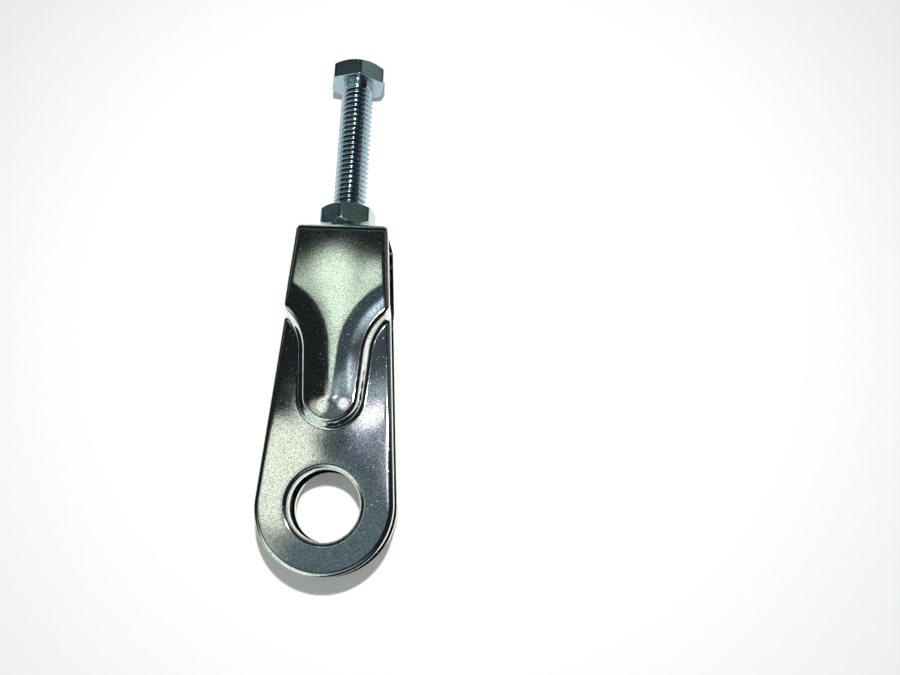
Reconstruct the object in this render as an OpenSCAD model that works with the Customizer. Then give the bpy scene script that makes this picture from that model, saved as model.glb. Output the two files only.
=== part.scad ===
// Chain adjuster for a motorcycle's rear axle, lying on its lower cheek.
// The body is one steel strip folded like a U: two cheeks that end in an axle eye, joined by a tapped
// end wall. A hexagon bolt runs through the wall into the channel, and a lock nut holds it.
// The origin is the centre of the axle hole, halfway between the cheeks.
// +Y runs from the eye to the bolt's head, and +Z is up, along the axle hole.

/* [Sheet] */
// Thickness of the sheet
sheet = 2.2; // [1.8:0.1:2.6]
// Radius rolled over along the outer edges of the sheet
edge_round = 1.1; // [0.6:0.1:1.4]
// Angle through which the outer edges turn before the sheared side
edge_turn = 48; // [30:2:70]
// Outer radius of the two folds at the end wall
fold_r = 1.7; // [1:0.1:2.4]
// Inner radius of the two folds at the end wall
fold_in = 0.4; // [0.2:0.1:1]
// Radius of the end wall's upright corners
corner_round = 0.4; // [0.2:0.1:0.8]

/* [Eye] */
// Radius of the axle hole
axle_r = 6.25; // [5:0.25:7.5]
// Radius rolled round the outer rims of the axle hole
rim_round = 1; // [0.5:0.1:1.4]
// Outer radius of the eye
eye_r = 12.1; // [11:0.1:13.5]
// Gap between the two cheeks, for the end plate of the swinging arm
cheek_gap = 4.6; // [3.6:0.1:5.4]

/* [Channel] */
// Distance from the axle hole's centre to the outer face of the end wall
reach = 51.2; // [47:0.1:56]
// Width of the body at the end wall
end_w = 16.7; // [15:0.1:18]
// Height that each cheek is raised to clear the bolt
rise = 2; // [1.4:0.1:2.4]

/* [Raised tongue] */
// Radius of the tongue's round nose, halfway up its wall
nose_r = 5.3; // [4.8:0.1:5.8]
// Distance from the axle hole's centre to the centre of the nose
nose_y = 19.1; // [18:0.1:21]
// Angle at which each side of the tongue opens
side_angle = 4; // [1:0.5:6]
// Length of the tongue's straight sides
side_len = 8.5; // [6:0.5:10]
// Radius of the flare from each side out to the edge of the body
flare_r = 10; // [8:0.5:12]
// Width of the sloping wall round the tongue
slope_w = 1.9; // [1.5:0.1:2.4]

/* [Bolt] */
// Diameter over the bolt's thread
bolt_d = 6; // [5:0.5:6.5]
// Depth of the thread, taken off the bolt's tip by its chamfer
thread_depth = 0.65; // [0.4:0.05:0.9]
// Length of the bolt under its head
bolt_len = 40; // [36:1:44]
// Distance from the end wall to the underside of the bolt's head
bolt_out = 31; // [28:0.2:34]
// Size of the bolt's head across its flats
head_af = 9.8; // [9:0.1:12]
// Height of the bolt's head
head_h = 3.5; // [3:0.1:5]
// Turn of the bolt's head from corner up
head_turn = 12; // [-30:1:30]

/* [Lock nut] */
// Size of the nut across its flats
nut_af = 9.6; // [9:0.1:12]
// Height of the nut
nut_h = 4.7; // [4:0.1:6]
// Turn of the nut from corner up
nut_turn = -6; // [-30:1:30]
// Gap between the nut and the end wall
nut_seat = 0.05; // [0.02:0.01:0.1]
// Gap all round between the bolt and the threads that carry it
thread_play = 0.05; // [0.03:0.01:0.08]

/* [Hidden] */
$fn = 96;

// The strip
wall_mid_w = end_w / 2;
taper = asin(eye_r / norm([wall_mid_w, reach])) - atan(wall_mid_w / reach);
cheek_z = cheek_gap / 2 + sheet;
box_z = cheek_z + rise;
wall_in = reach - sheet;
clear = 30;

// The tongue's outline is a nose circle, straight sides and two flare circles
flare_x = nose_r + flare_r;
slope_angle = atan(90 * PI / 180 * rise / slope_w);
inner_shift = sheet * tan(slope_angle / 2);
slope_steps = 6;
slope_over = 0.3;
tongue_mid = 3;

// The bolt and the nut
hex_corner = 1 / cos(30);
bolt_r = bolt_d / 2;
hole_r = bolt_r + thread_play;
head_y = reach + bolt_out;
chamfer_angle = 30;
chamfer_in = 0.95;
seat_angle = 45;
seat_in = 0.83;
nut_mouth = 0.4;
nut_y = reach + nut_seat;

// Points along an arc round a centre
function arc(centre, r, from, to, steps) =
    [for (i = [0 : steps]) let (a = from + (to - from) * i / steps) centre + r * [cos(a), sin(a)]];
function reversed(list) = [for (i = [len(list) - 1 : -1 : 0]) list[i]];
function flipped(list) = [for (p = reversed(list)) [p[0], -p[1]]];

// From 0 to 1 along half a cosine wave
function ease(t) = (1 - cos(180 * t)) / 2;

// Half a section through the body, from a start out to the eye's radius, with its edges rolled over
module edge_section(start, z) {
    centre = [eye_r - edge_round * sin(edge_turn), z - edge_round];
    edge = arc(centre, edge_round, 90 - edge_turn, 90, 5);
    half = concat(edge, [[start, z]]);
    polygon(concat(flipped(half), half));
}

// The body's outline as a slab up to z on both sides: the eye and two straight tangent sides
module outline_slab(z, long) {
    rotate(180 - taper)
        rotate_extrude(angle = 180 + 2 * taper) edge_section(axle_r / 2, z);
    intersection_for (side = [0, 1])
        mirror([side, 0, 0])
            rotate(taper)
                rotate([-90, 0, 0]) linear_extrude(height = long) edge_section(-2 * eye_r, z);
}

// The side view of a box that ends at y with its corners rounded, drawn across the body
module end_box(y, z, r) {
    corner = arc([y - r, z - r], r, 0, 90, 8);
    half = concat(corner, [[0, z]]);
    rotate([90, 0, 90])
        linear_extrude(height = 2 * clear, center = true)
            polygon(concat(flipped(half), half));
}

// The sloping wall, as distances out from the tongue's outline and heights, from its top to its foot
function slope(z) =
    let (steep = rise * ease(1 / slope_steps) * slope_steps / slope_w)
    concat(
        [[-slope_w / 2 - slope_over, z + rise + slope_over * steep]],
        [for (i = [1 : slope_steps - 1])
            [slope_w * (i / slope_steps - 0.5), z + rise * ease(1 - i / slope_steps)]],
        [[slope_w / 2 + slope_over, z - slope_over * steep]]);

// The space inside the tongue over a cheek face at z, with its wall moved in by shift
module tongue_form(z, shift) {
    wall = slope(z);
    out = [for (p = wall) [nose_r - shift + p[0], p[1]]];
    back = [for (p = wall) [flare_r + shift - p[0], p[1]]];
    nose = concat([[0, wall[0][1]]], out);
    side = concat([[-tongue_mid, wall[0][1]]], out);
    flare = concat([[0, wall[0][1]]], back);
    block_z = (z + rise + wall[0][1]) / 2;
    translate([0, nose_y, 0]) {
        rotate(180 + side_angle)
            rotate_extrude(angle = 180 - 2 * side_angle) polygon(concat(nose, flipped(nose)));
        for (m = [0, 1]) mirror([m, 0, 0]) rotate(-side_angle) {
            rotate([-90, 0, 0]) linear_extrude(height = side_len) polygon(concat(side, flipped(side)));
            difference() {
                translate([-tongue_mid, side_len, -block_z]) cube([clear, clear, 2 * block_z]);
                translate([flare_x, side_len, 0]) rotate_extrude() polygon(concat(flare, flipped(flare)));
            }
        }
    }
}

// The plan of the body up to its end wall, with the wall's two upright corners rounded
module wall_edges() {
    roll_y = reach - corner_round;
    roll_x = (eye_r - corner_round - roll_y * sin(taper)) / cos(taper);
    corner = arc([roll_x, roll_y], corner_round, taper, 90, 5);
    start = corner[0] * 1.3 - corner[1] * 0.3;
    half = concat([[clear, -clear], [clear, start[1]], start], [for (i = [1 : 5]) corner[i]]);
    linear_extrude(height = 2 * clear, center = true)
        polygon(concat(half, [for (p = reversed(half)) [-p[0], p[1]]]));
}

// The folded strip as if it were solid between its cheeks
module strip_outside() {
    outline_slab(cheek_z, reach - fold_r);
    intersection() {
        outline_slab(box_z, reach + clear);
        end_box(reach, box_z, fold_r);
        wall_edges();
        tongue_form(cheek_z, 0);
    }
}

// What lies between the cheeks
module strip_inside() {
    translate([-clear, -clear, -cheek_gap / 2]) cube([2 * clear, clear + wall_in - fold_in, cheek_gap]);
    intersection() {
        end_box(wall_in, box_z - sheet, fold_in);
        tongue_form(cheek_gap / 2, inner_shift);
    }
}

// What is taken out for the axle: the hole, flared at each end by its rolled rim
rim_angles = [12, 30, 48, 66, 80];
module axle_space() {
    rim_r = axle_r + rim_round;
    rim_z = cheek_z - rim_round;
    flare = [for (a = rim_angles) [rim_r - rim_round * cos(a), rim_z + rim_round * sin(a)]];
    mouth = [[rim_r + rim_round, cheek_z + rim_round], [0, cheek_z + rim_round]];
    half = concat([[axle_r, rim_z]], flare, mouth);
    rotate_extrude() polygon(concat([for (p = reversed(half)) [p[0], -p[1]]], half));
}

module adjuster_body() {
    color([0.80, 0.83, 0.82])
        difference() {
            strip_outside();
            strip_inside();
            axle_space();
            translate([0, wall_in - 1, 0]) rotate([-90, 0, 0]) cylinder(r = hole_r, h = sheet + 2);
        }
}

// A hexagon with a corner up, along Y from 0, chamfered at the far end and, for a nut, deeper at its seat
module hexagon(af, h, turn, seated) {
    corner_r = af / 2 * hex_corner;
    flat_r = af / 2 * chamfer_in;
    seat_r = af / 2 * seat_in;
    wide_r = corner_r + 0.5;
    drop = (wide_r - flat_r) * tan(chamfer_angle);
    seat_drop = (wide_r - seat_r) * tan(seat_angle);
    rotate([-90, 0, 0])
        intersection() {
            rotate(turn - 90) cylinder(r = corner_r, h = h, $fn = 6);
            rotate_extrude()
                polygon(concat(
                    [[0, 0]],
                    seated ? [[seat_r, 0], [wide_r, seat_drop]] : [[wide_r, 0]],
                    [[wide_r, h - drop], [flat_r, h], [0, h]]));
        }
}

module adjuster_bolt() {
    color([0.70, 0.74, 0.86]) {
        translate([0, head_y, 0]) hexagon(head_af, head_h, head_turn, false);
        translate([0, head_y, 0])
            rotate([90, 0, 0])
                rotate_extrude()
                    polygon([[0, -head_h / 2], [bolt_r, -head_h / 2], [bolt_r, bolt_len - thread_depth],
                        [bolt_r - thread_depth, bolt_len], [0, bolt_len]]);
    }
}

module lock_nut() {
    color([0.55, 0.63, 0.66])
        translate([0, nut_y, 0])
            difference() {
                hexagon(nut_af, nut_h, nut_turn, true);
                rotate([-90, 0, 0])
                    rotate_extrude()
                        polygon([[0, -1], [hole_r + nut_mouth + 1, -1], [hole_r, nut_mouth],
                            [hole_r, nut_h - nut_mouth], [hole_r + nut_mouth + 1, nut_h + 1], [0, nut_h + 1]]);
            }
}

adjuster_body();
adjuster_bolt();
lock_nut();
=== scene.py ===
"""A motorcycle chain adjuster lying on a white table: a folded chrome strip with an axle eye, a zinc-plated
bolt with its thread, and a lock nut. Lengths in the shape functions are millimetres. +Y runs from the eye to
the bolt's head, and +Z is up, along the axle hole.
"""

import math

import bpy
import numpy as np
from mathutils import Euler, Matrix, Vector


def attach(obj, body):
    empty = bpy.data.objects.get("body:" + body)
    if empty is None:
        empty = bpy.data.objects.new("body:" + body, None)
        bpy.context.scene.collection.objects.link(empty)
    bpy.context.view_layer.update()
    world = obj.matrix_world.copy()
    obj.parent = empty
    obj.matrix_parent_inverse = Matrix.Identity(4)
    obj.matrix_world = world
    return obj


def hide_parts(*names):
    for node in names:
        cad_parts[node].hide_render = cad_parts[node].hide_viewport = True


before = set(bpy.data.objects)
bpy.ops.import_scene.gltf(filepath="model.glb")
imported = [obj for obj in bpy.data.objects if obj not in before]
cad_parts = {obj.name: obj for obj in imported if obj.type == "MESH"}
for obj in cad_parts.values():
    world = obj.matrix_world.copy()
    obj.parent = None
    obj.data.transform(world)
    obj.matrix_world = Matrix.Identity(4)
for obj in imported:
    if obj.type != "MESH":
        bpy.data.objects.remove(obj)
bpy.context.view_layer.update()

MM = 0.001

# Points on the same step of this size, in millimetres, become one vertex
WELD = 2e-4

# The strip. Its edges roll over and then have a sheared side, and a shallow crown softens the faces
SHEET = 2.2
EDGE_ROUND = 1.1
EDGE_TURN = math.radians(48)
EDGE_IN = EDGE_ROUND * math.sin(EDGE_TURN)
EDGE_CROWN = 0.04
EDGE_SOFT = 1.2
FOLD_R = 1.7
FOLD_IN = 0.4
# Share of the edge's roll that is left at the end wall's corners
CORNER_SHARE = 0.4
AXLE_R = 6.25
EYE_R = 12.1
CHEEK_IN = 2.3
CHEEK_OUT = CHEEK_IN + SHEET
REACH = 51.2
WALL_IN = REACH - SHEET
END_HALF_W = 8.35
RISE = 2.0
CROWN = 0.26
TAPER = math.asin(EYE_R / math.hypot(END_HALF_W, REACH)) - math.atan(END_HALF_W / REACH)
EYE_JOIN = EYE_R * math.sin(TAPER)
SIDE_N = np.array([math.cos(TAPER), math.sin(TAPER)])
FOLD_Y = REACH - FOLD_R
FOLD_Z = CHEEK_OUT + RISE - FOLD_R
IN_FOLD_Y = WALL_IN - FOLD_IN
IN_FOLD_Z = CHEEK_IN + RISE - FOLD_IN
CROWN_FADE = 4.0
BORE_MOUTH = 0.35

# The rings round the eye reach to here, and straight rows go on from it
RING_Y = 10.5

# The axle hole's rim: a shallow dip round it, then the roll down into the hole
RIM_ROUND = 0.95
DIP = 0.01
DIP_W = 1.2
RIM_START_TURN = math.atan(2 * DIP / DIP_W)
RIM_R = AXLE_R + RIM_ROUND * (1 - math.sin(RIM_START_TURN))

# The raised tongue
NOSE_R = 5.3
NOSE_Y = 19.1
SIDE_ANGLE = math.radians(4)
SIDE_LEN = 8.5
FLARE_R = 10.0
SLOPE_W = 1.9
SIDE_DIR = np.array([math.sin(SIDE_ANGLE), math.cos(SIDE_ANGLE)])
SIDE_OUT = np.array([math.cos(SIDE_ANGLE), -math.sin(SIDE_ANGLE)])
NOSE_C = np.array([0.0, NOSE_Y])
FLARE_C = NOSE_C + SIDE_DIR * SIDE_LEN + SIDE_OUT * (NOSE_R + FLARE_R)
INNER_SHIFT = SHEET * math.tan(math.atan(math.pi / 2 * RISE / SLOPE_W) / 2)

# The bolt's thread, as shares of half a pitch for its crest and flank, its cut tip and the neck it fades to
THREAD_R = 3.0
PITCH = 1.0
THREAD_DEPTH = 0.61
CREST_SHARE = 0.14
FLANK_SHARE = 0.74
FLANK_ROUND = 0.55
TIP_CUT = 0.65
NECK_R = 2.62
NECK_LEN = 1.3
NECK_FADE = 0.9

# The hexagons: where their cones start, as shares of half the flats' distance, how far the corners of their
# sections are rounded, and the power that softens their upright corners
CROWN_ANGLE = math.radians(30)
CROWN_CUT = 0.95
SEAT_CUT = 0.83
HEAD_SOFT = (0.2, 0.12, 0.2)
NUT_SOFT = (0.05, 0.05, 0.06, 0.06, 0.12, 0.12, 0.05, 0.05)
SIDE_SHARE = 0.45
CORNER_POWER = 36

# Sizes and places of the bolt and the nut
HOLE_R = 3.05
BOLT_LEN = 40.0
HEAD_Y = REACH + 31.0
HEAD_H = 3.5
HEAD_FLATS = 9.8
HEAD_TURN = 12.0
NUT_Y = REACH + 0.05
NUT_H = 4.7
NUT_FLATS = 9.6
NUT_TURN = -6.0
NUT_MOUTH = 0.4

FLOOR_Z = -6.5

# How many points a grid has one way, and how many rows the thread has for each pitch
COLS = 77
CHEEK_ROWS = 143
ROLL_ROWS = 9
FOLD_ROWS = 12
RIM_ROWS = 10
WALL_ROWS = 27
EYE_SIDE_ROWS = 26
EYE_ARC_ROWS = 84
EYE_SPOKE = 26
UNDER_SPOKE = 6
WALL_SPOKE = 9
HEXAGON_COLS = 361
THREAD_COLS = 61
THREAD_ROWS = 14


def half_w(y):
    """Half the strip's width at y: the eye's circle, then the straight line tangent to it."""
    circle = np.sqrt(np.maximum(0.0, EYE_R**2 - y**2))
    return np.where(y < EYE_JOIN, circle, (EYE_R - y * math.sin(TAPER)) / math.cos(TAPER))


def inside(x, y):
    """Distance inside the tongue's outline: at the nose, its radius less the distance from its centre; along
    the side, the nose's radius less the distance out; at the flare, the distance from its centre less its
    radius."""
    p = np.stack([np.abs(x), y], -1)
    nose, flare = p - NOSE_C, p - FLARE_C
    by_nose = NOSE_R - np.linalg.norm(nose, axis=-1)
    by_side = NOSE_R - nose @ SIDE_OUT
    by_flare = np.linalg.norm(flare, axis=-1) - FLARE_R
    return np.where(nose @ SIDE_DIR < 0, by_nose, np.where(flare @ SIDE_DIR < 0, by_side, by_flare))


def ease(t):
    """From 0 to 1 along half a cosine wave."""
    return (1 - np.cos(math.pi * np.clip(t, 0, 1))) / 2


def edge_distance(x, y):
    """Distance in from the strip's outline: the eye's circle up to the tangent point, then the side line."""
    away = np.abs(x)
    past = y * SIDE_N[0] - away * SIDE_N[1]
    return EYE_R - np.where(past > 0, away * SIDE_N[0] + y * SIDE_N[1], np.hypot(x, y))


def bowl(distance, width):
    """From 1 at distance 0 to 0 at the width, along a parabola that ends level."""
    return (1 - np.clip(distance / width, 0, 1)) ** 2


def outer_z(x, y, fall=0.0):
    """Height of a cheek's outer face: the flat cheek plus the tongue's eased rise, less the edge roll's fall
    and three shallow parabolas: across the tongue, along the outer edge and round the axle hole."""
    deep = inside(x, y)
    risen = ease(deep / SLOPE_W + 0.5)
    sunk = CROWN * risen * bowl(np.maximum(deep, 0), NOSE_R)
    sunk = sunk + EDGE_CROWN * ease((FOLD_Y - y) / CROWN_FADE) * bowl(edge_distance(x, y), EDGE_SOFT)
    sunk = sunk + DIP * bowl(np.hypot(x, y) - RIM_R, DIP_W)
    return CHEEK_OUT + RISE * risen - sunk - fall


def inner_z(x, y):
    """Height of a cheek's inner face: its tongue is the outer one moved in, so the sheet keeps its gauge."""
    return CHEEK_IN + RISE * ease((inside(x, y) - INNER_SHIFT) / SLOPE_W + 0.5)


def stack(x, y, z):
    """Three arrays of coordinates, stretched to one shape and joined as points."""
    return np.stack(np.broadcast_arrays(x, y, z), -1).astype(float)


def face_normals(height, x, y):
    """Normals of a face given as a height: the cross product of its slopes, from differences over 0.02 mm."""
    step = 0.01
    slope_x = (height(x + step, y) - height(x - step, y)) / (2 * step)
    slope_y = (height(x, y + step) - height(x, y - step)) / (2 * step)
    return unit(stack(-slope_x, -slope_y, 1.0))


def unit(vectors):
    """Vectors made one long."""
    return vectors / np.maximum(np.linalg.norm(vectors, axis=-1, keepdims=True), 1e-12)


def patch(grid, towards, normals=None, round_u=False):
    """A grid of points with a normal at each. Normals that aren't given are the cross product of the grid's
    two slopes, turned towards a direction. With round_u, the last row is the first again."""
    if round_u:
        du = np.roll(grid, -1, 0) - np.roll(grid, 1, 0)
        du[0] = du[-1] = grid[1] - grid[-2]
    else:
        du = np.gradient(grid, axis=0)
    cross = unit(np.cross(du, np.gradient(grid, axis=1)))
    sign = np.sign(np.sum(cross * towards))
    if normals is None:
        normals = cross * sign
    return grid, unit(np.broadcast_to(normals, grid.shape).astype(float)), sign > 0


def mirrored(made, axis):
    """The same patch on the other side of a middle plane."""
    grid, n, upright = made
    flip = np.ones(3)
    flip[axis] = -1
    return grid * flip, n * flip, not upright


def build_mesh(name, patches):
    """Joins patches into one closed mesh: each cell is cut into two triangles, points at one place become one
    vertex, triangles with no area go, and each corner keeps its own patch's normal."""
    points, normals, corners, start = [], [], [], 0
    for grid, n, upright in patches:
        rows, cols = grid.shape[:2]
        index = start + np.arange(rows * cols).reshape(rows, cols)
        a, b = index[:-1, :-1].ravel(), index[1:, :-1].ravel()
        c, d = index[1:, 1:].ravel(), index[:-1, 1:].ravel()
        cut = np.concatenate([np.stack([a, b, c], 1), np.stack([a, c, d], 1)])
        corners.append(cut if upright else cut[:, ::-1])
        points.append(grid.reshape(-1, 3))
        normals.append(n.reshape(-1, 3))
        start += rows * cols
    points, normals, corners = np.concatenate(points), np.concatenate(normals), np.concatenate(corners)
    keys = np.round(points / WELD).astype(np.int64)
    _, first, weld = np.unique(keys, axis=0, return_index=True, return_inverse=True)
    weld = weld.ravel()
    tri = weld[corners]
    kept = (tri[:, 0] != tri[:, 1]) & (tri[:, 1] != tri[:, 2]) & (tri[:, 2] != tri[:, 0])
    tri, corner_normals = tri[kept], normals[corners[kept]].reshape(-1, 3)
    mesh = bpy.data.meshes.new(name)
    mesh.vertices.add(len(first))
    mesh.vertices.foreach_set("co", (points[first] * MM).ravel())
    mesh.loops.add(len(tri) * 3)
    mesh.loops.foreach_set("vertex_index", tri.ravel())
    mesh.polygons.add(len(tri))
    mesh.polygons.foreach_set("loop_start", np.arange(len(tri)) * 3)
    mesh.polygons.foreach_set("use_smooth", np.ones(len(tri), bool))
    mesh.update(calc_edges=True)
    mesh.normals_split_custom_set(corner_normals)
    piece = bpy.data.objects.new(name, mesh)
    bpy.context.scene.collection.objects.link(piece)
    return piece


def roll_steps():
    """The rolled edge from its top to the sheared side: turn, distance in from the edge, and fall."""
    turn = np.linspace(0, EDGE_TURN, ROLL_ROWS)
    return turn, EDGE_IN - EDGE_ROUND * np.sin(turn), EDGE_ROUND * (1 - np.cos(turn))


def down_side(top, low, outward, count=4):
    """The sheared side: straight lines from the roll's foot to the sheet's inner corner, in equal steps."""
    t = np.linspace(0, 1, count)[:, None]
    grid = top[:, None, :] * (1 - t) + low[:, None, :] * t
    return patch(grid, outward, outward)


def rolled(face, outward, turn):
    """Normals of a roll: they turn from the face's normal to the outline's."""
    return face * np.cos(turn)[:, None] + outward * np.sin(turn)[:, None]


def eye_path():
    """The strip's edge round the eye, from the right side at RING_Y to the left one: a straight line to the
    tangent point, the circle, and the line back up. Each point has the direction in which the edge is crossed
    and the outline's normal there."""
    t = np.array([-SIDE_N[1], SIDE_N[0]])
    y = np.linspace(RING_Y, EYE_JOIN, EYE_SIDE_ROWS)
    side = np.stack([half_w(y), y], 1)
    fade = ((y - EYE_JOIN) / (RING_Y - EYE_JOIN))[:, None]
    side_in = SIDE_N - math.tan(TAPER) * t * ease(fade)
    a = np.linspace(TAPER, -math.pi / 2, EYE_ARC_ROWS)[1:]
    arc_in = np.stack([np.cos(a), np.sin(a)], 1)
    halves = (
        np.concatenate([side, EYE_R * arc_in]),
        np.concatenate([side_in, arc_in]),
        np.concatenate([SIDE_N + 0 * side, arc_in]),
    )
    return [np.concatenate([half, half[-2::-1] * [-1, 1]]) for half in halves]


def spokes(aim, radius, loop, steps):
    """Straight spokes from a circle out to a closed loop of points."""
    t = np.linspace(0, 1, steps)[None, :, None]
    return (radius * aim)[:, None, :] * (1 - t) + loop[:, None, :] * t


def closed(loop):
    """The loop with its first point again at its end."""
    return np.concatenate([loop, loop[:1]])


def flat3(vectors):
    """Plan directions as directions in space, with room for the steps across a band."""
    return np.concatenate([vectors, 0 * vectors[:, :1]], 1)[:, None, :]


UP = np.array([0, 0, 1.0])
BACK = np.array([0, 1.0, 0])
SIDE_3 = np.array([SIDE_N[0], SIDE_N[1], 0])


def cheek_rows(cols, inset, rows, rows_in):
    """A cheek from the eye to the folds: rows across its outer and inner faces, and the band up its side."""
    turn, d, fall = roll_steps()
    w, y = half_w(rows)[:, None], rows[:, None]
    x = cols * (w - inset)
    y = y + 0 * x
    made = [patch(stack(x, y, outer_z(x, y)), UP, face_normals(outer_z, x, y))]
    w_in = half_w(rows_in)[:, None]
    x_in = np.concatenate([-w_in, cols * (w_in - inset), w_in], 1)
    y_in = rows_in[:, None] + 0 * x_in
    inner_n = -face_normals(inner_z, x_in, y_in)
    made.append(patch(stack(x_in, y_in, inner_z(x_in, y_in)), -UP, inner_n))
    sx = w - d / math.cos(TAPER)
    sy = rows[:, None] + 0 * sx
    top = stack(sx, sy, outer_z(sx, sy, fall))
    low = stack(w_in[:, 0], rows_in, inner_z(w_in[:, 0], rows_in))
    roll = patch(top, SIDE_3, rolled(face_normals(outer_z, sx, sy), SIDE_3, turn))
    side = down_side(top[:, -1], low, SIDE_3)
    return made + [roll, side, mirrored(roll, 0), mirrored(side, 0)]


def eye_rings(cols, inset):
    """The eye: rings round the axle hole on both faces, the hole with its rolled rim, and the outer band."""
    turn, d, fall = roll_steps()
    path, across, outline = eye_path()
    line = np.stack([cols * (half_w(np.array(RING_Y)) - inset), np.full(len(cols), RING_Y)], 1)
    face_loop = closed(np.concatenate([line, path - EDGE_IN * across]))
    inner_loop = closed(np.concatenate([line, path]))
    aim = unit(face_loop)
    flat = spokes(aim, RIM_R, face_loop, EYE_SPOKE)
    x, y = flat[..., 0], flat[..., 1]
    made = [patch(stack(x, y, outer_z(x, y)), UP, face_normals(outer_z, x, y), True)]
    under = spokes(aim, AXLE_R, inner_loop, UNDER_SPOKE)
    made.append(patch(stack(under[..., 0], under[..., 1], CHEEK_IN), -UP, -UP, True))
    bend = np.linspace(RIM_START_TURN, math.pi / 2, RIM_ROWS)
    rim_r = AXLE_R + RIM_ROUND * (1 - np.sin(bend))
    rim_z = CHEEK_OUT - DIP - RIM_ROUND * (math.cos(RIM_START_TURN) - np.cos(bend))
    into = flat3(-aim)
    rim = stack(aim[:, None, 0] * rim_r, aim[:, None, 1] * rim_r, rim_z)
    made.append(patch(rim, into, rolled(UP, into, bend), True))
    wall_z = np.linspace(rim_z[-1], CHEEK_IN, 3)
    wall = stack(aim[:, None, 0] * AXLE_R, aim[:, None, 1] * AXLE_R, wall_z)
    made.append(patch(wall, into, into, True))
    ex = path[:, None, 0] - d * across[:, None, 0]
    ey = path[:, None, 1] - d * across[:, None, 1]
    top = stack(ex, ey, outer_z(ex, ey, fall))
    low = stack(path[:, 0], path[:, 1], CHEEK_IN)
    outward = flat3(outline)
    made.append(patch(top, outward, rolled(face_normals(outer_z, ex, ey), outward, turn)))
    made.append(down_side(top[:, -1], low, outward))
    return made


def fold(cols, inset):
    """A fold: its outer and inner faces turn about their own lines, and the roll on its ends gets smaller."""
    turn, d, fall = roll_steps()
    a = np.linspace(0, math.pi / 2, FOLD_ROWS)[:, None]
    share = 1 - (1 - CORNER_SHARE) * ease(a / (math.pi / 2))
    fw = half_w(FOLD_Y + FOLD_R * np.sin(a))
    n = stack(0, np.sin(a), np.cos(a))
    x = cols * (fw - inset * share)
    made = [patch(stack(x, FOLD_Y + FOLD_R * np.sin(a), FOLD_Z + FOLD_R * np.cos(a)), n, n)]
    iw = half_w(IN_FOLD_Y + FOLD_IN * np.sin(a))
    ix = np.concatenate([-iw, cols * (iw - inset), iw], 1)
    bend_in = stack(ix, IN_FOLD_Y + FOLD_IN * np.sin(a), IN_FOLD_Z + FOLD_IN * np.cos(a))
    made.append(patch(bend_in, -n, -n))
    r = FOLD_R - fall * share
    top = stack(fw - d * share / math.cos(TAPER), FOLD_Y + r * np.sin(a), FOLD_Z + r * np.cos(a))
    roll = patch(top, SIDE_3, rolled(n, SIDE_3, turn))
    side = down_side(top[:, -1], bend_in[:, -1], SIDE_3)
    return made + [roll, side, mirrored(roll, 0), mirrored(side, 0)]


def end_wall(cols, inset):
    """The end wall: a ring round the bolt's hole on both faces, the hole, and the bands on its sides."""
    turn, d, fall = roll_steps()
    corner = inset * CORNER_SHARE
    made, aim = [], None
    for y, across_in, down_in, top_z, facing in (
        (REACH, corner, corner, FOLD_Z, BACK),
        (WALL_IN, inset, 0.0, IN_FOLD_Z, -BACK),
    ):
        right = float(half_w(np.array(y)))
        z = np.linspace(top_z, -top_z, WALL_ROWS)
        across = np.stack([cols * (right - across_in), np.full(len(cols), top_z)], 1)
        down = np.stack([np.full(len(z), right - down_in), z], 1)
        loop = closed(np.concatenate([across, down, across[::-1] * [1, -1], down[::-1] * [-1, 1]]))
        aim = unit(loop) if aim is None else aim
        face = spokes(aim, HOLE_R + BORE_MOUTH, loop, WALL_SPOKE)
        made.append(patch(stack(face[..., 0], y, face[..., 1]), facing, facing, True))
    bore_r = np.array([HOLE_R + BORE_MOUTH, HOLE_R, HOLE_R, HOLE_R + BORE_MOUTH])
    bore_y = np.array([REACH, REACH - BORE_MOUTH, WALL_IN + BORE_MOUTH, WALL_IN])
    bore = stack(aim[:, None, 0] * bore_r, bore_y, aim[:, None, 1] * bore_r)
    made.append(patch(bore, stack(-aim[:, None, 0], 0, -aim[:, None, 1]), None, True))
    z = np.linspace(FOLD_Z, -FOLD_Z, WALL_ROWS)
    right = float(half_w(np.array(REACH)))
    top = stack(right - d * CORNER_SHARE / math.cos(TAPER), REACH - fall * CORNER_SHARE, z[:, None])
    low_z = np.linspace(IN_FOLD_Z, -IN_FOLD_Z, WALL_ROWS)
    low = stack(float(half_w(np.array(WALL_IN))), WALL_IN, low_z)
    roll = patch(top, SIDE_3, rolled(BACK, SIDE_3, turn))
    side = down_side(top[:, -1], low, SIDE_3)
    return made + [roll, side, mirrored(roll, 0), mirrored(side, 0)]


def strip_patches():
    """Every face of the folded strip: an upper cheek and its mirror image, joined by the end wall."""
    inset = EDGE_IN / math.cos(TAPER)
    cols = np.linspace(-1, 1, COLS)
    rows = np.linspace(RING_Y, FOLD_Y, CHEEK_ROWS)
    rows_in = np.linspace(RING_Y, IN_FOLD_Y, CHEEK_ROWS)
    cheek = cheek_rows(cols, inset, rows, rows_in) + eye_rings(cols, inset) + fold(cols, inset)
    return cheek + [mirrored(p, 2) for p in cheek] + end_wall(cols, inset)


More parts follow.
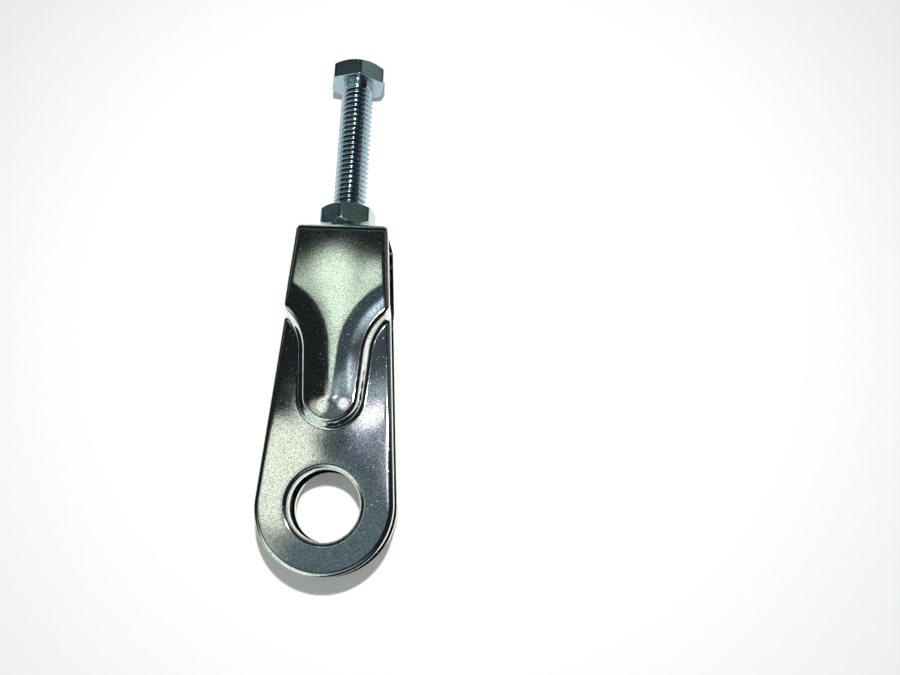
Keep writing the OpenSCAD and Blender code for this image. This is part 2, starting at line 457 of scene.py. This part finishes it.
def rounded_section(corners, radii, steps=5):
    """A path through corner points, each an array over the turn, with every corner rounded along a short
    parabola that starts and ends its radius away, and takes no more than SIDE_SHARE of either side."""
    out = [corners[0]]
    for before, at, after, radius in zip(corners[:-2], corners[1:-1], corners[2:], radii):
        back, on = before - at, after - at
        back_len = np.linalg.norm(back, axis=-1, keepdims=True)
        on_len = np.linalg.norm(on, axis=-1, keepdims=True)
        p = at + back * np.minimum(radius / back_len, SIDE_SHARE)
        q = at + on * np.minimum(radius / on_len, SIDE_SHARE)
        for t in np.linspace(0, 1, steps):
            out.append(p * (1 - t) ** 2 + at * 2 * t * (1 - t) + q * t**2)
    out.append(corners[-1])
    return np.stack(out, 1)


def hexagon_radius(angle, turn, flats):
    """Radius of a hexagon with softly rounded corners, from the high power mean of its six flats."""
    facing = angle[:, None] - math.radians(turn) - math.radians(30) - np.arange(6) * math.pi / 3
    near = np.maximum(np.cos(facing), 0) / (flats / 2)
    return 1 / np.sum(near**CORNER_POWER, 1) ** (1 / CORNER_POWER)


def around_bolt(section, angle, y0):
    """Turns a section of radius and height, which may change with the angle, round the bolt's axis."""
    r, h = section[..., 0], section[..., 1]
    return stack(r * np.sin(angle)[:, None], y0 + h, r * np.cos(angle)[:, None])


def hexagon_section(turn, flats, height, bore, seated):
    """A hexagon nut or head as one turned section: the six flats, a cone of 30 degrees at the far end and, on
    a nut, one of 45 degrees at its seat."""
    angle = np.linspace(0, 2 * math.pi, HEXAGON_COLS)
    r = hexagon_radius(angle, turn, flats)
    zero = np.zeros_like(r)

    def at(radius, h):
        return np.stack(np.broadcast_arrays(zero + radius, zero + h), -1)

    crown_r = flats / 2 * CROWN_CUT
    top = height - (r - crown_r) * math.tan(CROWN_ANGLE)
    if not seated:
        corners = [at(bore, 0), at(r, 0), at(r, top), at(crown_r, height), at(0, height)]
        return angle, rounded_section(corners, HEAD_SOFT)
    seat_r = flats / 2 * SEAT_CUT
    foot = r - seat_r
    middle = at(bore, height / 2)
    mouth_r = bore + NUT_MOUTH
    corners = [middle, at(bore, NUT_MOUTH), at(mouth_r, 0), at(seat_r, 0), at(r, foot)]
    corners += [at(r, top), at(crown_r, height), at(mouth_r, height), at(bore, height - NUT_MOUTH), middle]
    return angle, rounded_section(corners, NUT_SOFT)


def shank_grid():
    """The thread as a helical grid: each column starts a share of one pitch further along, so that every row
    keeps its place on the thread's profile. The depth goes from crest to root along a flank that is part
    cosine wave, part straight. A cone of 45 degrees cuts the tip, and the thread fades under the head."""
    turn = np.linspace(0, 1, THREAD_COLS)[:, None]
    rows = np.arange(-THREAD_ROWS, int(BOLT_LEN / PITCH * THREAD_ROWS) + 1)[None, :]
    along = np.clip((rows / THREAD_ROWS + turn) * PITCH, 0, BOLT_LEN)
    phase = np.mod(rows / THREAD_ROWS, 1.0) + 0 * turn
    flank = np.clip((np.abs(2 * phase - 1) - CREST_SHARE) / FLANK_SHARE, 0, 1)
    root = ease(flank) * FLANK_ROUND + flank * (1 - FLANK_ROUND)
    r = THREAD_R - THREAD_DEPTH * root
    left = BOLT_LEN - along
    r = r + (NECK_R - r) * ease((NECK_LEN - left) / NECK_FADE)
    r = np.minimum(r, THREAD_R - TIP_CUT + along)
    angle = 2 * math.pi * turn
    return stack(r * np.sin(angle), HEAD_Y - BOLT_LEN + along, r * np.cos(angle))


def make_body():
    piece = build_mesh("folded_strip", strip_patches())
    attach(piece, "body")
    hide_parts("adjuster_body")
    return piece


def make_bolt():
    angle, section = hexagon_section(HEAD_TURN, HEAD_FLATS, HEAD_H, NECK_R, False)
    head = around_bolt(section, angle, HEAD_Y)
    shank = shank_grid()
    tip_r = THREAD_R - TIP_CUT
    turn = 2 * math.pi * np.linspace(0, 1, THREAD_COLS)[:, None]
    disc_r = np.linspace(tip_r, 0, 4)
    disc = stack(disc_r * np.sin(turn), HEAD_Y - BOLT_LEN, disc_r * np.cos(turn))
    middle = np.array([0, HEAD_Y + HEAD_H / 2, 0])
    patches = [
        patch(head, head - middle, None, True),
        patch(shank, shank - BACK * shank),
        patch(disc, -BACK, -BACK, True),
    ]
    piece = build_mesh("threaded_bolt", patches)
    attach(piece, "bolt")
    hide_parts("adjuster_bolt")
    return piece


def make_nut():
    angle, section = hexagon_section(NUT_TURN, NUT_FLATS, NUT_H, HOLE_R, True)
    grid = around_bolt(section, angle, NUT_Y)
    ring_r = (HOLE_R + NUT_FLATS / 2) / 2
    core = stack(ring_r * np.sin(angle)[:, None], NUT_Y + NUT_H / 2, ring_r * np.cos(angle)[:, None])
    piece = build_mesh("hexagon_nut", [patch(grid, grid - core, None, True)])
    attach(piece, "nut")
    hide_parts("lock_nut")
    return piece


def node(tree, kind, **values):
    """Adds a node and sets its plain properties and input sockets by name."""
    made = tree.nodes.new(kind)
    for key, value in values.items():
        if key in made.inputs:
            made.inputs[key].default_value = value
        else:
            setattr(made, key, value)
    return made


def map_range(tree, source, target, **values):
    """A node that carries one span of values over to another."""
    made = node(tree, "ShaderNodeMapRange", **values)
    for key, value in zip(("From Min", "From Max", "To Min", "To Max"), (*source, *target)):
        made.inputs[key].default_value = value
    return made


def grain_group():
    """Plating grain: fine noise makes the height, finer noise a speckle, and coarse noise the clouds."""
    group = bpy.data.node_groups.new("plating_grain", "ShaderNodeTree")
    face = group.interface
    face.new_socket("Vector", in_out="INPUT", socket_type="NodeSocketVector")
    for name in ("Grain Scale", "Speckle Scale", "Cloud Scale"):
        face.new_socket(name, in_out="INPUT", socket_type="NodeSocketFloat")
    for name in ("Height", "Speckle", "Cloud"):
        face.new_socket(name, in_out="OUTPUT", socket_type="NodeSocketFloat")
    start = group.nodes.new("NodeGroupInput")
    end = group.nodes.new("NodeGroupOutput")
    noises = (("Grain", "Height", 2.0), ("Speckle", "Speckle", 1.0), ("Cloud", "Cloud", 3.0))
    for scale, out, detail in noises:
        noise = node(group, "ShaderNodeTexNoise", Detail=detail, Roughness=0.6)
        group.links.new(start.outputs["Vector"], noise.inputs["Vector"])
        group.links.new(start.outputs[scale + " Scale"], noise.inputs["Scale"])
        group.links.new(noise.outputs["Fac"], end.inputs[out])
    return group


# Spans of the noise over which the specks, the clouds and the sparkle set in, and the sparkle's roughness
SPECK_SPAN = (0.32, 0.54)
CLOUD_SPAN = (0.3, 0.7)
SPARKLE_SPAN = (0.72, 0.80)
SPARKLE_ROUGH = 0.3


def metal(name, group, tones, rough, scales, bump):
    """A plated metal: its tone goes from dark specks to the clean plate with the speckle, its roughness
    follows the clouds, rare bright specks are rougher, and the grain is its bump."""
    made = bpy.data.materials.new(name)
    made.use_nodes = True
    tree = made.node_tree
    shader = tree.nodes["Principled BSDF"]
    shader.inputs["Metallic"].default_value = 1.0
    place = node(tree, "ShaderNodeTexCoord")
    texture = tree.nodes.new("ShaderNodeGroup")
    texture.node_tree = group
    for key, scale in zip(("Grain Scale", "Speckle Scale", "Cloud Scale"), scales):
        texture.inputs[key].default_value = scale
    ramp = node(tree, "ShaderNodeValToRGB")
    for stop, at, tone in zip(ramp.color_ramp.elements, SPECK_SPAN, tones):
        stop.position = at
        stop.color = (*tone, 1)
    spread = map_range(tree, CLOUD_SPAN, rough)
    sparkle = map_range(tree, SPARKLE_SPAN, (rough[0], SPARKLE_ROUGH))
    rougher = node(tree, "ShaderNodeMath", operation="MAXIMUM")
    relief = node(tree, "ShaderNodeBump", Strength=1.0, Distance=bump)
    link = tree.links.new
    link(place.outputs["Object"], texture.inputs["Vector"])
    link(texture.outputs["Speckle"], ramp.inputs["Fac"])
    link(texture.outputs["Cloud"], spread.inputs["Value"])
    link(texture.outputs["Height"], relief.inputs["Height"])
    link(ramp.outputs["Color"], shader.inputs["Base Color"])
    link(texture.outputs["Speckle"], sparkle.inputs["Value"])
    link(spread.outputs["Result"], rougher.inputs[0])
    link(sparkle.outputs["Result"], rougher.inputs[1])
    link(rougher.outputs[0], shader.inputs["Roughness"])
    link(relief.outputs["Normal"], shader.inputs["Normal"])
    return made


def dress(piece, material):
    piece.data.materials.clear()
    piece.data.materials.append(material)


FLOOR_HALF = 3000.0
PAPER_TONE = (0.92, 0.93, 0.92)
PAPER_ROUGH = 0.9


def make_floor():
    """The white table: one square, whose top is what the adjuster lies on."""
    half, z = FLOOR_HALF * MM, FLOOR_Z * MM
    mesh = bpy.data.meshes.new("table_top")
    corners = [(-half, -half, z), (half, -half, z), (half, half, z), (-half, half, z)]
    mesh.from_pydata(corners, [], [(0, 1, 2, 3)])
    floor = bpy.data.objects.new("table_top", mesh)
    bpy.context.scene.collection.objects.link(floor)
    paper = bpy.data.materials.new("white_paper")
    paper.use_nodes = True
    shader = paper.node_tree.nodes["Principled BSDF"]
    shader.inputs["Base Color"].default_value = (*PAPER_TONE, 1)
    shader.inputs["Roughness"].default_value = PAPER_ROUGH
    shader.inputs["Specular IOR Level"].default_value = 0.0
    dress(floor, paper)


def soft_light(tree, sky, centre, half, turn, edge):
    """Share of one soft light: 1 inside an ellipse of the flattened sky, easing to 0 across its edge."""
    local = node(tree, "ShaderNodeMapping", vector_type="TEXTURE")
    local.inputs["Location"].default_value = (*centre, 0)
    local.inputs["Rotation"].default_value = (0, 0, math.radians(turn))
    local.inputs["Scale"].default_value = (*half, 1)
    reach = node(tree, "ShaderNodeVectorMath", operation="LENGTH")
    share = map_range(tree, (1 - edge, 1 + edge), (1.0, 0.0), interpolation_type="SMOOTHSTEP")
    tree.links.new(sky, local.inputs["Vector"])
    tree.links.new(local.outputs[0], reach.inputs[0])
    tree.links.new(reach.outputs["Value"], share.inputs["Value"])
    return share.outputs["Result"]


# The flattened sky gives a direction as its X and Y, each divided by its Z, or by HORIZON where Z is less.
# These are the soft lights and dark things round the table, later ones in front of earlier ones: centre, half
# size, turn in degrees, softness of the edge, colour. The first nine are broad ones further out, and the rest
# are small ones nearly overhead
HORIZON = 0.02
SKY = [
    ((-0.20, -0.90), (0.90, 0.40), 0, 0.40, (0.20, 0.28, 0.32)),
    ((-0.10, 0.54), (0.60, 0.11), 0, 0.40, (0.07, 0.11, 0.13)),
    ((0.0, 9.0), (6.0, 4.5), 0, 0.40, (0.26, 0.36, 0.42)),
    ((-1.0, 0.60), (0.40, 0.25), 0, 0.40, (0.12, 0.145, 0.13)),
    ((3.7, 1.9), (2.0, 1.2), 0, 0.30, (0.34, 0.36, 0.32)),
    ((-6.3, 2.8), (3.5, 2.0), 0, 0.30, (0.03, 0.075, 0.10)),
    ((0.80, 0.48), (0.35, 0.22), 0, 0.40, (0.08, 0.11, 0.10)),
    ((-18.9, -23.3), (28.3, 5.0), 51, 0.03, (0.85, 1.00, 0.90)),
    ((-1.90, -2.30), (2.30, 1.30), 51, 0.20, (0.85, 1.00, 0.90)),
    ((-0.130, 0.030), (0.140, 0.095), 0, 0.30, (0.105, 0.145, 0.165)),
    ((-0.110, 0.200), (0.050, 0.110), 0, 0.35, (0.045, 0.065, 0.085)),
    ((-0.274, 0.045), (0.055, 0.080), 0, 0.50, (0.50, 0.55, 0.48)),
    ((-0.190, 0.160), (0.018, 0.026), 0, 0.40, (0.85, 0.95, 0.90)),
    ((-0.220, 0.093), (0.043, 0.060), 0, 0.16, (0.95, 1.00, 0.88)),
    ((-0.175, 0.317), (0.050, 0.027), 0, 0.50, (0.38, 0.46, 0.38)),
    ((-0.1775, 0.318), (0.024, 0.033), 0, 0.45, (1.00, 1.18, 1.00)),
    ((-0.131, 0.322), (0.014, 0.016), 0, 0.50, (0.85, 1.00, 0.85)),
    ((-0.210, 0.309), (0.022, 0.010), -10, 0.60, (0.55, 0.66, 0.55)),
    ((-0.1705, 0.280), (0.013, 0.032), 0, 0.50, (1.00, 1.18, 1.00)),
    ((-0.1700, 0.230), (0.0080, 0.038), 0, 0.40, (0.95, 1.12, 0.96)),
    ((-0.1705, 0.185), (0.0080, 0.030), 0, 0.40, (0.90, 1.05, 0.95)),
    ((-0.1475, 0.291), (0.030, 0.0065), 59, 0.40, (0.92, 1.08, 0.92)),
    ((-0.090, 0.187), (0.075, 0.013), 0, 0.50, (0.28, 0.36, 0.40)),
    ((-0.030, 0.190), (0.042, 0.020), -25, 0.50, (0.36, 0.48, 0.54)),
    ((-0.0365, 0.192), (0.024, 0.007), -40, 0.60, (0.90, 1.05, 1.25)),
    ((-0.060, 0.110), (0.040, 0.044), 0, 0.40, (1.10, 1.15, 1.20)),
    ((-0.1250, 0.145), (0.020, 0.030), 0, 0.60, (0.24, 0.28, 0.38)),
    ((-0.1250, 0.159), (0.019, 0.010), 33, 0.60, (2.00, 1.90, 2.10)),
]
SKY_DARK = (0.012, 0.015, 0.017)
FILL_TONE = (0.97, 1.0, 0.99)
FILL = 0.40


def make_world():
    """The room: an even pale fill for matt surfaces, soft lights on a dark ceiling for what mirrors it, and
    plain white for the camera."""
    world = bpy.data.worlds.new("studio")
    bpy.context.scene.world = world
    world.use_nodes = True
    tree = world.node_tree
    tree.nodes.clear()
    link = tree.links.new
    place = node(tree, "ShaderNodeTexCoord")
    parts = node(tree, "ShaderNodeSeparateXYZ")
    link(place.outputs["Generated"], parts.inputs[0])
    height = node(tree, "ShaderNodeMath", operation="MAXIMUM")
    height.inputs[1].default_value = HORIZON
    link(parts.outputs["Z"], height.inputs[0])
    flat = node(tree, "ShaderNodeCombineXYZ")
    for axis in ("X", "Y"):
        share = node(tree, "ShaderNodeMath", operation="DIVIDE")
        link(parts.outputs[axis], share.inputs[0])
        link(height.outputs[0], share.inputs[1])
        link(share.outputs[0], flat.inputs[axis])
    colour = node(tree, "ShaderNodeRGB").outputs[0]
    colour.default_value = (*SKY_DARK, 1)
    for centre, half, turn, edge, tone in SKY:
        mix = node(tree, "ShaderNodeMix", data_type="RGBA")
        link(soft_light(tree, flat.outputs[0], centre, half, turn, edge), mix.inputs[0])
        link(colour, mix.inputs[6])
        mix.inputs[7].default_value = (*tone, 1)
        colour = mix.outputs[2]
    rays = node(tree, "ShaderNodeLightPath")
    mirror = node(tree, "ShaderNodeBackground", Strength=1.0)
    link(colour, mirror.inputs["Color"])
    fill = node(tree, "ShaderNodeBackground", Color=(*FILL_TONE, 1), Strength=FILL)
    choose = node(tree, "ShaderNodeMixShader")
    link(rays.outputs["Is Glossy Ray"], choose.inputs[0])
    link(fill.outputs[0], choose.inputs[1])
    link(mirror.outputs[0], choose.inputs[2])
    white = node(tree, "ShaderNodeBackground", Color=(1, 1, 1, 1), Strength=1.0)
    last = node(tree, "ShaderNodeMixShader")
    link(rays.outputs["Is Camera Ray"], last.inputs[0])
    link(choose.outputs[0], last.inputs[1])
    link(white.outputs[0], last.inputs[2])
    out = node(tree, "ShaderNodeOutputWorld")
    link(last.outputs[0], out.inputs["Surface"])


# Millimetres, and degrees about X, Y and Z
CAMERA_PLACE = (27.213, -9.617, 164.234)
CAMERA_TURN = (14.1559, 1.76844, 2.35505)
CAMERA_NEAR = 5.0
CAMERA_SENSOR = 36
CAMERA_LENS = 36.76


def make_camera():
    lens = bpy.data.cameras.new("camera")
    lens.sensor_width = CAMERA_SENSOR
    lens.lens = CAMERA_LENS
    lens.clip_start = CAMERA_NEAR * MM
    camera = bpy.data.objects.new("camera", lens)
    bpy.context.scene.collection.objects.link(camera)
    turn = Euler([math.radians(a) for a in CAMERA_TURN]).to_matrix().to_4x4()
    turn.translation = [c * MM for c in CAMERA_PLACE]
    camera.matrix_world = turn
    bpy.context.scene.camera = camera


FLASH_PLACE = (24.0, 45.0, 190.0)
FLASH_AIM = (0.0, 30.0, FLOOR_Z)
FLASH_SIZE = 8.0
FLASH_POWER = 0.34
FLASH_TONE = (1.0, 1.0, 0.98)


def make_flash():
    """A small lamp near the camera, which gives the crisp grey crescents on the table."""
    lamp = bpy.data.lights.new("flash", "AREA")
    lamp.shape = "DISK"
    lamp.size = FLASH_SIZE * MM
    lamp.energy = FLASH_POWER
    lamp.color = FLASH_TONE
    flash = bpy.data.objects.new("flash", lamp)
    bpy.context.scene.collection.objects.link(flash)
    flash.location = [c * MM for c in FLASH_PLACE]
    aim = Vector([c * MM for c in FLASH_AIM]) - flash.location
    flash.rotation_euler = aim.to_track_quat("-Z", "Y").to_euler()


grain = grain_group()
chrome = metal(
    "grainy_chrome",
    grain,
    tones=((0.36, 0.40, 0.37), (0.95, 0.97, 0.94)),
    rough=(0.04, 0.06),
    scales=(3600, 5200, 260),
    bump=1.3e-6,
)
zinc = metal(
    "blue_zinc",
    grain,
    tones=((0.22, 0.30, 0.34), (0.42, 0.53, 0.60)),
    rough=(0.12, 0.20),
    scales=(2600, 4000, 320),
    bump=2.0e-6,
)
dark_zinc = metal(
    "dark_zinc",
    grain,
    tones=((0.20, 0.27, 0.28), (0.60, 0.72, 0.72)),
    rough=(0.14, 0.22),
    scales=(3400, 5000, 320),
    bump=4.0e-6,
)

dress(make_body(), chrome)
dress(make_bolt(), zinc)
dress(make_nut(), dark_zinc)
make_floor()
make_world()
make_camera()
make_flash()
bpy.context.scene.view_settings.view_transform = "Standard"
